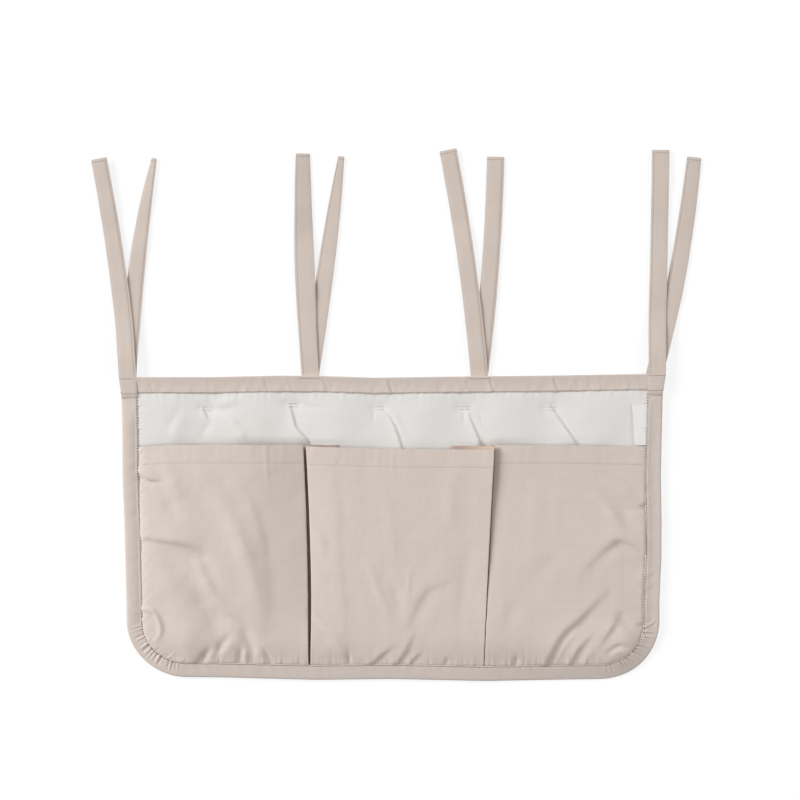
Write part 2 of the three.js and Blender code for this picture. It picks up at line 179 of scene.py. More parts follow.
def tuck(height, width, *points, start=0.6, end=0.2, step=1.0):
    """A small overlap: the cloth to the left of the way along the line lies higher than to its right."""
    return {"height": height, "width": width, "line": curve(points), "ends": (start, 1, end), "step": step}


def folds_height(x, y, folds):
    """How far the folds and tucks lift each point."""
    total = np.zeros(np.broadcast(x, y).shape)
    for each in folds:
        line = each["line"]
        reach = 2.6 * each["width"]
        low = line.min(0) - reach
        high = line.max(0) + reach
        near = (x > low[0]) & (x < high[0]) & (y > low[1]) & (y < high[1])
        here = np.stack([x[near], y[near]], -1)[:, None, :]
        step = line[1:] - line[:-1]
        reached = ((here - line[:-1]) * step).sum(-1) / (step**2).sum(-1)
        share = np.clip(reached, 0, 1)
        gap = here - line[:-1] - share[..., None] * step
        distance = np.sqrt((gap**2).sum(-1))
        closest = distance.argmin(1)
        rows = np.arange(len(closest))
        along = (closest + share[rows, closest]) / len(step)
        strength = np.interp(along, (0, 0.5, 1), each["ends"])
        nearest = distance[rows, closest]
        if each["step"]:
            way = step[closest]
            offset = gap[rows, closest]
            side = np.sign(way[:, 0] * offset[:, 1] - way[:, 1] * offset[:, 0])
            past = (reached - share)[rows, closest] * np.linalg.norm(way, axis=1)
            form = np.tanh(side * nearest / each["step"]) * np.exp(-nearest / each["width"])
            form *= bell(past, max(3, 0.6 * each["width"]))
        else:
            form = bell(nearest, each["width"])
        total[near] += each["height"] * strength * form
    return total


# Panel outline

SIDE_SLOPE = (TOP_WIDTH - BOTTOM_WIDTH) / 2 / (TOP - BOTTOM)
SIDE_LENGTH = np.hypot(1, SIDE_SLOPE)
SIDE_ANGLE = np.arctan(SIDE_SLOPE)


def half_width(y, inset):
    return BOTTOM_WIDTH / 2 + (y - BOTTOM) * SIDE_SLOPE - inset * SIDE_LENGTH


CORNER_Y = BOTTOM + CORNER_RADIUS
CORNER_X = half_width(CORNER_Y, CORNER_RADIUS)


def edge_distance(x, y):
    """How far a point lies inside the left, bottom and right edges."""
    across = np.abs(x)
    nearest = np.minimum((half_width(y, 0) - across) / SIDE_LENGTH, y - BOTTOM)
    corner = CORNER_RADIUS - np.hypot(across - CORNER_X, y - CORNER_Y)
    return np.where((across > CORNER_X) & (y < CORNER_Y), np.minimum(nearest, corner), nearest)


def side_edge(y, inset):
    """Half the panel's width at a height, moved inwards, with the round corner."""
    drop = np.clip(CORNER_Y - y, 0, CORNER_RADIUS - inset)
    rounded = CORNER_X + np.sqrt((CORNER_RADIUS - inset) ** 2 - drop**2)
    return np.where(y < CORNER_Y, np.minimum(rounded, half_width(y, inset)), half_width(y, inset))


def tape_width(y):
    """The tape is a little wider on the sides than along the bottom."""
    return EDGE_TAPE + SIDE_EXTRA * smooth(-160, -80, y)


# How the soft panel lies: it strays a little from its true outline

TOP_STRAY = (
    [-302, -200, -125, -80, -36, -20, 60, 170, 300],
    [1.0, 1.0, 2.6, 2.2, 0.8, 0.3, 1.4, 2.6, 4.8],
)
BOTTOM_STRAY = (
    [-290, -230, -190, -85, 0, 105, 180, 245, 290],
    [2.5, 2.4, 2.0, -0.8, 0.2, -2.2, -0.9, 0.0, -1.0],
)
LEFT_STRAY = ([-150, -80, 10, 60, 100, 140, 165], [1.6, 2.0, 1.0, -0.3, 0.2, -0.1, -1.0])
RIGHT_STRAY = ([-150, -80, -30, 10, 60, 100, 140, 165], [0.8, -0.6, 0.9, 0.4, -1.2, -0.9, -0.5, 1.0])


def lie(points):
    """The points as they lie, with the panel's small strays."""
    moved = np.array(points, float)
    x = moved[..., 0].copy()
    y = moved[..., 1].copy()
    top = smooth(95, 150, y) * np.interp(x, *TOP_STRAY)
    bottom = (1 - smooth(BOTTOM, -100, y)) * np.interp(x, *BOTTOM_STRAY)
    left = smooth(150, 285, -x) * np.interp(y, *LEFT_STRAY)
    right = smooth(150, 285, x) * np.interp(y, *RIGHT_STRAY)
    fade = 1 - smooth(TOP, TOP + 60, y)
    moved[..., 0] += (left + right) * fade
    moved[..., 1] += (top + bottom) * fade
    return moved


# Meshes

CREASE_ANGLE = np.radians(52)


def grid_faces(rows, columns, closed=False):
    index = np.arange(rows * columns).reshape(rows, columns)
    if closed:
        index = np.hstack([index, index[:, :1]])
    corners = [index[:-1, :-1], index[:-1, 1:], index[1:, 1:], index[1:, :-1]]
    return np.stack(corners, -1).reshape(-1, 4).tolist()


def add_object(name, data):
    """A new object in the scene."""
    thing = bpy.data.objects.new(name, data)
    scene.collection.objects.link(thing)
    return thing


def add_piece(name, points, faces, material, slot):
    mesh = bpy.data.meshes.new(name)
    mesh.from_pydata((lie(points).reshape(-1, 3) * MM).tolist(), [], faces)
    mesh.shade_smooth()
    mesh.set_sharp_from_angle(angle=CREASE_ANGLE)
    mesh.materials.append(material)
    piece = add_object(name, mesh)
    return piece


def grid_normals(points):
    along = np.gradient(points, axis=1)
    up = np.gradient(points, axis=0)
    return unit(np.cross(along, up))


def shell(points, thickness):
    """A closed sheet of that thickness under a grid of points, and its faces."""
    rows, columns = points.shape[:2]
    normal = grid_normals(points)
    under = points - normal * np.broadcast_to(thickness, (rows, columns))[..., None]
    top = grid_faces(rows, columns)
    half = rows * columns
    faces = top + [[half + i for i in reversed(face)] for face in top]
    index = np.arange(half).reshape(rows, columns)
    rim = np.concatenate([index[0], index[1:, -1], index[-1, -2::-1], index[-2:0:-1, 0]])
    for a, b in zip(rim, np.roll(rim, -1)):
        faces.append([int(b), int(a), int(half + a), int(half + b)])
    return np.concatenate([points.reshape(-1, 3), under.reshape(-1, 3)]), faces


def filled(points, low):
    """A closed solid between a grid of points and the heights under them, and its faces."""
    vertices, faces = shell(points, CLOTH)
    half = len(vertices) // 2
    vertices[half:, :2] = vertices[:half, :2]
    vertices[half:, 2] = low.reshape(-1)
    return vertices, faces


def loop_mesh(rings):
    """A closed tube through rings of points, and its faces."""
    count, sides = rings.shape[:2]
    faces = grid_faces(count, sides, closed=True)
    last = (count - 1) * sides
    faces.append(list(range(sides))[::-1])
    faces.append([last + i for i in range(sides)])
    return rings.reshape(-1, 3), faces


def run_along(line):
    """The length of a line up to each of its points."""
    return np.concatenate([[0], np.cumsum(np.linalg.norm(np.diff(line, axis=0), axis=1))])


def between(wanted, places, rows):
    """Rows of three numbers at the wanted places."""
    return np.stack([np.interp(wanted, places, rows[:, axis]) for axis in range(3)], -1)


def resample(line, step):
    """The same line in even steps."""
    run = run_along(line)
    count = max(2, int(round(run[-1] / step)) + 1)
    return between(np.linspace(0, run[-1], count), run, line)


STITCH_RINGS = [(-0.5, 0.45, -0.7), (-0.3, 1.0, 0.15), (0.3, 1.0, 0.15), (0.5, 0.45, -0.7)]
STITCH_SIDES = 6


def sew(name, lines, material, slot="cotton", length=STITCH_LENGTH, step=STITCH_STEP, thread=THREAD):
    """Short raised stitches along lines of points with their upward directions."""
    angles = np.arange(STITCH_SIDES) * 2 * np.pi / STITCH_SIDES
    rings = []
    for along, size, lift in STITCH_RINGS:
        across = size * np.cos(angles) * thread
        up = (size * np.sin(angles) + lift) * thread
        rings.append(np.stack([np.full(STITCH_SIDES, along * length), across, up], -1))
    template, one = loop_mesh(np.array(rings))
    points = []
    faces = []
    for line, ups in lines:
        dense = resample(line, step)
        up_rows = np.atleast_2d(np.asarray(ups, float))
        up_rows = between(np.linspace(0, 1, len(dense)), np.linspace(0, 1, len(up_rows)), up_rows)
        tangents = unit(np.gradient(dense, axis=0))
        sides = unit(np.cross(up_rows, tangents))
        for centre, tangent, side in zip(dense, tangents, sides):
            basis = np.stack([tangent, side, np.cross(tangent, side)])
            start = len(points) * len(template)
            points.append(centre + template @ basis)
            faces.extend([[start + i for i in face] for face in one])
    return add_piece(name, np.concatenate(points), faces, material, slot)


# Materials

WHITE = (1, 1, 1, 1)
BLOTCH = 9.0
YARN = 260
YARN_STRETCH = 0.06
YARN_TONE = 0.14


def add_node(tree, kind, **values):
    """A new node with its inputs set."""
    node = tree.nodes.new(kind)
    for socket, value in values.items():
        node.inputs[socket].default_value = value
    return node


def fabric(name, colour, variation, weave, sheen, roughness):
    """Woven cloth: uneven tone, streaks of yarn, and the weave as a fine bump."""
    material = bpy.data.materials.new(name)
    material.use_nodes = True
    tree = material.node_tree
    links = tree.links
    shader = tree.nodes["Principled BSDF"]
    shader.inputs["Roughness"].default_value = roughness
    shader.inputs["Specular IOR Level"].default_value = 0.2
    shader.inputs["Sheen Weight"].default_value = sheen
    shader.inputs["Sheen Roughness"].default_value = 0.45
    place = tree.nodes.new("ShaderNodeTexCoord").outputs["Object"]

    def noise(scale, detail, stretch=(1, 1, 1)):
        mapping = add_node(tree, "ShaderNodeMapping", Scale=stretch)
        links.new(place, mapping.inputs["Vector"])
        texture = add_node(tree, "ShaderNodeTexNoise", Scale=scale, Detail=detail)
        links.new(mapping.outputs["Vector"], texture.inputs["Vector"])
        return texture.outputs["Fac"]

    def blend(kind, factor, first, second):
        node = tree.nodes.new("ShaderNodeMix")
        node.data_type = "RGBA"
        node.blend_type = kind
        for socket, value in ((0, factor), (6, first), (7, second)):
            if hasattr(value, "is_output"):
                links.new(value, node.inputs[socket])
            else:
                node.inputs[socket].default_value = value
        return node.outputs[2]

    dark = tuple(c * (1 - variation) for c in colour) + (1,)
    light = tuple(min(1, c * (1 + variation)) for c in colour) + (1,)
    warm = (colour[0] * 1.012, colour[1] * 0.99, colour[2] * 0.975, 1)
    tone = blend("MIX", noise(BLOTCH, 3), dark, light)
    tone = blend("MIX", noise(BLOTCH * 1.7, 2), tone, warm)
    warp = noise(YARN, 2, (1, YARN_STRETCH, 1))
    weft = noise(YARN, 2, (YARN_STRETCH, 1, 1))
    yarn = blend("MIX", 0.5, warp, weft)
    tone = blend("SOFT_LIGHT", YARN_TONE, tone, yarn)
    links.new(tone, shader.inputs["Base Color"])

    def threads(direction):
        texture = add_node(tree, "ShaderNodeTexWave", Scale=weave, Distortion=0.6)
        texture.bands_direction = direction
        links.new(place, texture.inputs["Vector"])
        return texture.outputs["Fac"]

    cross = blend("MULTIPLY", 1.0, threads("X"), threads("Y"))
    cross = blend("ADD", 0.6, cross, yarn)
    bump = add_node(tree, "ShaderNodeBump", Strength=0.25, Distance=0.00012)
    links.new(cross, bump.inputs["Height"])
    links.new(bump.outputs["Normal"], shader.inputs["Normal"])
    return material


COTTON = fabric("sand_cotton", (0.645, 0.568, 0.515), 0.03, 640, 0.2, 0.9)
LINING = fabric("white_lining", (0.738, 0.728, 0.708), 0.015, 760, 0.15, 0.7)
STRAP_COTTON = fabric("strap_cotton", (0.615, 0.54, 0.488), 0.03, 640, 0.2, 0.9)
# Gusset cloth darker and warmer than the pocket cotton: painted shade for the deep pleat slits
PLEAT_COTTON_PAINTED_SHADE = fabric("pleat_cotton_painted_shade", (0.6, 0.475, 0.395), 0.03, 640, 0.2, 0.9)
FILLING = fabric("white_wadding", (0.85, 0.84, 0.8), 0.04, 200, 0.3, 1.0)
LABEL = fabric("label_weave", (0.84, 0.83, 0.82), 0.01, 900, 0.1, 0.6)
# Near-black stitch colour: painted shade of the needle holes along the seams, not the sand-coloured thread's
# own colour
HOLE_SHADE_THREAD = fabric("thread_painted_hole_shade", (0.08, 0.058, 0.044), 0.05, 2600, 0.0, 0.8)
# Stitch colour darkened well below the cloth: painted shade of the stitch holes, fainter than on the edge
# seams
SHADED_STRAP_THREAD = fabric("strap_thread", (0.3, 0.25, 0.215), 0.05, 2600, 0.1, 0.75)
WHITE_THREAD = fabric("white_thread", (0.74, 0.72, 0.69), 0.03, 2600, 0.1, 0.7)


# Free edges of the pockets and the seams of their pleats


def edge_line(*xs):
    """A gently curved edge through even steps from the bottom of a pocket to its mouth."""
    steps = np.linspace(BOTTOM, MOUTH, len(xs))
    line = curve(np.column_stack([xs, steps]))
    return lambda y: np.interp(y, line[:, 1], line[:, 0])


LEFT_MOUTH = ([-283, -250, -200, -97], [-0.6, 1.6, 2.0, 1.6])
MIDDLE_MOUTH = ([-94, -60, -14, 60, 114], [0.2, -1.0, -2.4, -3.2, -3.4])
RIGHT_MOUTH = ([114, 200, 284], [1.6, 1.2, -0.4])


def mouth_line(x):
    shift = mix(np.interp(x, *LEFT_MOUTH), np.interp(x, *MIDDLE_MOUTH), smooth(-100, -90, x))
    return MOUTH + mix(shift, np.interp(x, *RIGHT_MOUTH), smooth(100, 124, x))


left_fold = edge_line(-93.4, -93.5, -95.3, -98.7)
middle_left_fold = edge_line(-91.3, -89.8, -91.7, -95.6)
middle_right_fold = edge_line(100.6, 104.3, 108.6, 113.0)
right_fold = edge_line(101.4, 105.1, 109.4, 113.8)
left_seam = edge_line(-92.6, -95.2)
right_seam = edge_line(98.5, 101)


# Quilted panel: lining, wadding and back

LINING_FOLDS = [
    fold(0.9, 5, (-199, 136), (-184, 139), (-168, 142)),
    fold(-0.6, 4, (-198, 132), (-186, 132), (-171, 132)),
    fold(1.4, 5, (-192, 127), (-178, 118), (-167, 106), end=0.7),
    tuck(-0.9, 6, (-210, 131), (-207, 126), (-203, 119), start=0.8),
    fold(-0.7, 5, (-203, 118), (-207, 111), (-211, 104), end=0.6),
    fold(-0.6, 5, (-236, 132), (-245, 118), (-252, 102)),
    fold(0.8, 9, (-236, 118), (-240, 106), (-242, 96)),
    tuck(-1.3, 7, (-113, 133), (-110, 123), (-107, 113), (-101, 106), (-95, 99), (-93, 90), end=1),
    fold(-0.5, 3, (-106, 136), (-86, 133), (-64, 131)),
    tuck(-1.2, 7, (-12, 132), (-3, 124), (4, 111), (8, 98), (11, 88), start=0.3, end=1),
    fold(1.0, 4, (-7, 132), (3, 124), (11, 108), end=0.5),
    fold(-0.5, 2.4, (-21, 132), (-20, 118)),
    tuck(-0.6, 5, (83, 133), (95, 126), (99, 115), start=0.2),
    tuck(-1.4, 6, (86, 124), (90, 114), (96, 100), (98, 88), start=0.4, end=1),
    fold(-0.6, 2.2, (79, 131), (80, 116)),
    tuck(-1.3, 7, (177, 133), (188, 118), (202, 99), (208, 88), start=0.5, end=1),
]

MOUTH_DIP = (
    [
        -283, -250, -220, -175, -160, -110, -90, -75, -55, 0,
        60, 80, 100, 116, 150, 175, 190, 204, 216, 240, 283,
    ],
    [
        0.2, 0.6, 1.2, 1.8, 2.8, 3.4, 4.2, 2.6, 1.2, 0.6,
        0.4, 1.8, 3.4, 3.0, 1.8, 0.6, 0.6, 2.4, 0.6, 1.2, 0.0,
    ],
)


def tack_places():
    for row, tack_y in enumerate(TACK_YS):
        for tack_x, stray in zip(TACK_XS, TACK_STRAY):
            yield tack_x, tack_y + stray * (row == 0)


def tack_pull(x, y, reach):
    """One at a bar tack, fading within its reach."""
    pull = np.zeros(np.broadcast(x, y).shape)
    for tack_x, tack_y in tack_places():
        across = np.maximum(np.abs(x - tack_x) - 5, 0)
        pull = np.maximum(pull, bell(np.hypot(across, y - tack_y), reach))
    return pull


def near_mouth(y):
    """The dips fade deep inside the pockets, where the lining lies flat again."""
    return smooth(MOUTH - 60, MOUTH - 10, y)


def lining_height(x, y):
    inside = edge_distance(x, y) - tape_width(y)
    below_band = TOP - TOP_BAND - y
    rise = bulge(np.minimum(mix(bulge(inside / 8), inside / 34, 0.6), below_band / 34))
    shown = smooth(70, MOUTH + 14, y)
    seat = mix(COVERED_SEAT, LINING_SEAT, smooth(40, 80, y))
    height = mix(seat, mix(COVERED_CROWN, LINING_CROWN, shown), rise)
    height += QUILT_WAVE * shown * rise * np.cos(2 * np.pi * (x - TACK_XS[2]) / TACK_SPACING + np.pi)
    seams = bell(x - left_seam(y), 5) + bell(x - right_seam(y), 5)
    height -= SEAM_DIP * seams * rise * (1 - shown)
    for depth, reach in TACK_PULLS:
        height -= depth * tack_pull(x, y, reach)
    above = y - mouth_line(x)
    lip = 0.8 * (1 - smooth(-2, 2.6, above))
    dip = np.interp(x, *MOUTH_DIP) * (1 - smooth(-6, 10, above))
    height -= (dip + lip) * near_mouth(y)
    height += folds_height(x, y, LINING_FOLDS)
    seam = np.exp(-np.maximum(below_band, 0) / 5)
    height += 0.5 * seam * ripple(x, 11, 3)
    side = np.exp(-np.maximum(inside, 0) / 5)
    height += 0.6 * side * ripple(y, 6, 4)
    height += 0.18 * rise * rumple(x, y, 34, 5)
    height = np.maximum(height, LOWEST_LINING)
    clear_of_tape = smooth(-2, 0, np.minimum(inside, below_band))
    return mix(np.minimum(height, HIDDEN_LINING), height, clear_of_tape)


def panel_grid(columns, ys, inset):
    """Rows across the panel that end at its outline."""
    share = np.linspace(-1, 1, columns)
    y = np.repeat(ys[:, None], columns, 1)
    x = share[None, :] * side_edge(y, inset)
    return x, y


UNDER_TAPE = EDGE_TAPE - 6
lining_ys = np.concatenate([
    np.linspace(BOTTOM + UNDER_TAPE, -120, 14),
    np.linspace(-116, 66, 36),
    np.linspace(68, 84, 8),
    np.linspace(85, TOP - TOP_BAND + 5, 78),
])
lining_x, lining_y = panel_grid(640, lining_ys, UNDER_TAPE)
lining_points = np.stack([lining_x, lining_y, lining_height(lining_x, lining_y)], -1)
lining = add_piece("quilted_lining", *shell(lining_points, CLOTH), LINING, "lining")


def back_height(x, y):
    rise = bulge((edge_distance(x, y) - EDGE_TAPE) / 30)
    return 0.9 * (1 - rise) + 0.9 * tack_pull(x, y, 12) + 0.1


back_ys = np.linspace(BOTTOM + UNDER_TAPE, TOP - TOP_BAND + 6, 90)
back_x, back_y = panel_grid(160, back_ys, UNDER_TAPE)
back_points = np.stack([back_x, back_y, back_height(back_x, back_y) + CLOTH], -1)
back = add_piece("panel_back", *shell(back_points, CLOTH), COTTON, "cotton")

pad_ys = np.concatenate([
    np.linspace(BOTTOM + UNDER_TAPE + 2, 60, 50),
    np.linspace(62, TOP - TOP_BAND, 45),
])
pad_x, pad_y = panel_grid(200, pad_ys, UNDER_TAPE + 2)
pad_top = lining_height(pad_x, pad_y) - CLOTH - 0.4
pad_low = np.minimum(back_height(pad_x, pad_y) + CLOTH + 0.3, pad_top - 0.3)
pad_points = np.stack([pad_x, pad_y, pad_top], -1)
wadding = add_piece("panel_wadding", *filled(pad_points, pad_low), FILLING, "wadding")


# Bar tacks: two satin bars on each face

TACK_BAR = 9.5
TACK_ROWS = (-1.7, 1.7)


def tack_bars(surface, up):
    lines = []
    for tack_x, tack_y in tack_places():
        for shift in TACK_ROWS:
            x = np.linspace(tack_x - TACK_BAR / 2, tack_x + TACK_BAR / 2, 9)
            y = np.full_like(x, tack_y + shift)
            lines.append((np.stack([x, y, surface(x, y) + 0.2 * up], -1), (0, 0, up)))
    return lines


tacks = sew(
    "bar_tacks",
    tack_bars(lining_height, 1) + tack_bars(back_height, -1),
    WHITE_THREAD, "thread", length=2.2, step=1.1, thread=0.4,
)


# Folded tape round the edges


BACK_STEPS = 7
NOSE_STEPS = 13
FRONT_FROM = BACK_STEPS + NOSE_STEPS
BACK_SEAT = 0.15


def tape_section(width, stitch_inset, squareness):
    """Insets and heights from the hidden back edge round the nose to the tucked front lip."""
    stitch = width - stitch_inset
    back_inset = np.linspace(width, NOSE, BACK_STEPS)
    nose_turn = np.linspace(-np.pi / 2, np.pi / 2, NOSE_STEPS + 2)[1:-1]
    front_inset = np.linspace(NOSE, width, 30)
    nose_inset = NOSE - NOSE * np.cos(nose_turn) ** squareness
    inset = np.concatenate([back_inset, nose_inset, front_inset, [width + 0.25, width - 0.1, width - 4]])
    groove = 0.12 * bell(front_inset - stitch, 0.9)
    front = 2 * NOSE - groove - 0.15 * smooth(stitch, width, front_inset)
    lip = front[-1]
    nose = NOSE + NOSE * np.sign(nose_turn) * np.abs(np.sin(nose_turn)) ** squareness
    tucked = [lip - 0.35, lip - 0.75, lip - 0.9]
    height = np.concatenate([np.full(BACK_STEPS, BACK_SEAT), nose, front, tucked])
    return inset, np.maximum(height, 0.05)


def tape_run():
    """Points, inward directions and corner shares along the left, bottom and right edges."""
    end = TOP - TOP_BAND + 1.5
    rows = []
    for y in np.linspace(end, CORNER_Y, 110):
        rows.append((-half_width(y, 0), y, 1, 0, 0))
    for turn in np.linspace(np.pi + SIDE_ANGLE, 1.5 * np.pi, 100)[1:]:
        rows.append(corner_row(-CORNER_X, turn))
    for x in np.linspace(-CORNER_X, CORNER_X, 200)[1:]:
        rows.append((x, BOTTOM, 0, 1, 0))
    for turn in np.linspace(1.5 * np.pi, 2 * np.pi - SIDE_ANGLE, 100)[1:]:
        rows.append(corner_row(CORNER_X, turn))
    for y in np.linspace(CORNER_Y, end, 110)[1:]:
        rows.append((half_width(y, 0), y, -1, 0, 0))
    rows = np.array(rows)
    return rows[:, :2], rows[:, 2:4], rows[:, 4]


def corner_row(centre_x, turn):
    """A row of tape_run in a round corner."""
    out = (np.cos(turn), np.sin(turn))
    middle = np.sin((turn % (np.pi / 2)) * 2)
    x = centre_x + CORNER_RADIUS * out[0]
    y = CORNER_Y + CORNER_RADIUS * out[1]
    return (x, y, -out[0], -out[1], middle)


run_points, run_inward, run_corner = tape_run()
run_length = run_along(run_points)


def tape_gathers(run, inset, corner, width):
    """Small puckers of the tape, close and deep round the corners."""
    hold = smooth(2, width - 4, inset) * (1 - 0.5 * smooth(width - 1.5, width, inset))
    turned = run + 0.15 * inset
    close = np.sin(2 * np.pi * turned / 6.2 + 2.2 * ripple(turned, 26, 31))
    deep = 1.05 * close * (0.6 + 0.9 * ripple(turned, 19, 32))
    slant = run + 0.35 * inset
    loose = 0.3 * ripple(slant, 17, 33) + 0.12 * ripple(slant, 6.5, 34)
    return hold * mix(loose, deep, smooth(0.1, 0.75, corner))


def tape_mesh(points, inward, run, corner, section, width, slope, extra, stretch=None):
    """Rows of points round the folded tape, each across its section."""
    inset, height = section
    inset_rows = np.repeat(inset[None, :], len(points), 0)
    height_rows = np.repeat(height[None, :], len(points), 0)
    front = np.arange(len(inset)) >= FRONT_FROM
    if stretch is not None:
        inset_rows *= mix(1, (stretch / width)[:, None], smooth(NOSE, width, inset_rows))
    puckers = tape_gathers(run[:, None], inset_rows, corner[:, None], width) + extra(points, inset_rows)
    lifted = slope(points, np.clip(1 - inset_rows / (width - 2), 0, 1))
    height_rows = height_rows * (1 + lifted / (2 * NOSE)) + puckers * front
    inset_rows += 0.35 * smooth(width - 3, width, inset_rows) * ripple(run, 15, 35)[:, None]
    flat = points[:, None, :] + inward[:, None, :] * inset_rows[..., None]
    return np.concatenate([flat, np.maximum(height_rows, 0.05)[..., None]], -1)


def tape_stitches(rows, section, stitch):
    inset, _ = section
    column = FRONT_FROM + int(np.abs(inset[FRONT_FROM:-3] - stitch).argmin())
    return rows[:, column] + (0, 0, 0.12)


LEFT_CROWN = 1.3
CROWN_PLACE = 0.62
RIGHT_FALL = 1.4
TIE_LAP_Y = 142


def edge_slope(points, share):
    """The tape's front: crowned on the left, falling outwards on the right and along the bottom."""
    x = points[:, :1]
    y = points[:, 1:]
    low = 1 - smooth(BOTTOM + 4, CORNER_Y, y)
    free = 1 - smooth(TIE_LAP_Y - 30, TIE_LAP_Y, y)
    crown = LEFT_CROWN * (1 - (1 - share / CROWN_PLACE) ** 2)
    left_side_front = mix(-0.9 * share, crown, free)
    right_side_front = mix(-share, -RIGHT_FALL * (1 - (1 - share) ** 3), free)
    side_front = np.where(x < 0, left_side_front, right_side_front)
    return mix(side_front, -share * mix(2.6, 5.0, smooth(20, 240, x)), low)


EDGE_TUCKS = [(-1, -95, 1.1), (-1, -22, 0.35), (1, -110, 0.9), (1, 26, 0.35), (1, -52, 0.3)]


def edge_tucks(points, inset):
    """Slanting tucks across the tape: side, height along it and depth."""
    x = points[:, :1]
    y = points[:, 1:]
    total = np.zeros_like(inset)
    for side, place, depth in EDGE_TUCKS:
        line = y - place + 0.8 * (inset - 10)
        total += depth * (0.5 * bell(line - 3, 2.6) - 0.8 * bell(line, 1.5)) * (x * side > 150)
    return total * smooth(2, 8, inset)


edge_section = tape_section(EDGE_TAPE, STITCH_INSET, 0.45)
edge_rows = tape_mesh(
    run_points, run_inward, run_length, run_corner, edge_section, EDGE_TAPE, edge_slope,
    edge_tucks, stretch=tape_width(run_points[:, 1]),
)
edge_seam = tape_stitches(edge_rows, edge_section, EDGE_TAPE - STITCH_INSET)
edge_faces = [face[::-1] for face in grid_faces(*edge_rows.shape[:2])]
edge_tape = add_piece("edge_tape", edge_rows, edge_faces, COTTON, "cotton")
edge_stitches = sew("edge_tape_stitches", [(edge_seam, (0, 0, 1))], HOLE_SHADE_THREAD)


# Band along the top edge, with slanting puckers

BAND_PUCKERS = [
    (-268, 0.5), (-204, 0.5), (-162, 0.35), (-141, 0.45), (-114, 0.6), (-75, 0.7), (-38, 0.2),
    (-3, 1.2), (20, 0.2), (50, 0.25), (84, 0.5), (110, 1.1), (150, 0.2), (181, 1.1), (205, 0.5),
    (218, 0.4), (231, 0.45), (247, 0.35), (262, 0.35), (274, 0.3),
]


def band_puckers(points, inset):
    """Slanting puckers across the band: place along it and depth."""
    x = points[:, :1]
    total = np.zeros_like(inset)
    for place, depth in BAND_PUCKERS:
        line = x - place - 0.32 * (inset - 8)
        total += depth * (0.4 * bell(line + 2.6, 2.6) - 0.6 * bell(line, 1.4))
    return total * smooth(0, 5, inset)


band_xs = np.linspace(-TOP_WIDTH / 2 + 0.4, TOP_WIDTH / 2 - 0.4, 420)
band_points = np.stack([band_xs, np.full_like(band_xs, TOP)], -1)
band_inward = np.broadcast_to(np.array([0.0, -1.0]), band_points.shape)


def band_slope(points, share):
    return 2.2 * share**2


band_section = tape_section(TOP_BAND, BAND_STITCH_INSET, 0.2)
band_rows = tape_mesh(
    band_points, band_inward, band_xs + 900, np.zeros_like(band_xs), band_section, TOP_BAND, band_slope,
    band_puckers,
)
band_seam = tape_stitches(band_rows, band_section, TOP_BAND - BAND_STITCH_INSET)


def closed_ends(rows):
    """The band's rows with its two ends pressed together."""
    caps = []
    for row, way in ((rows[0], -1), (rows[-1], 1)):
        cap = row.copy()
        cap[:, 0] += 0.6 * way
        cap[:, 2] = NOSE
        caps.append(cap)
    return np.concatenate([caps[:1], rows, caps[1:]])


closed_band = closed_ends(band_rows)
top_band = add_piece("top_band", closed_band, grid_faces(*closed_band.shape[:2]), COTTON, "cotton")
band_lines = [(band_seam, (0, 0, 1))]
catch = (band_rows[:, FRONT_FROM - 1] + band_rows[:, FRONT_FROM]) / 2 + (0, 0, 0.1)
for tie_x in INNER_TIE_XS:
    band_lines.append((catch[np.abs(catch[:, 0] - tie_x) < 11.5], (0, 0, 1)))
band_stitches = sew("top_band_stitches", band_lines, SHADED_STRAP_THREAD, thread=0.46)


# Pockets

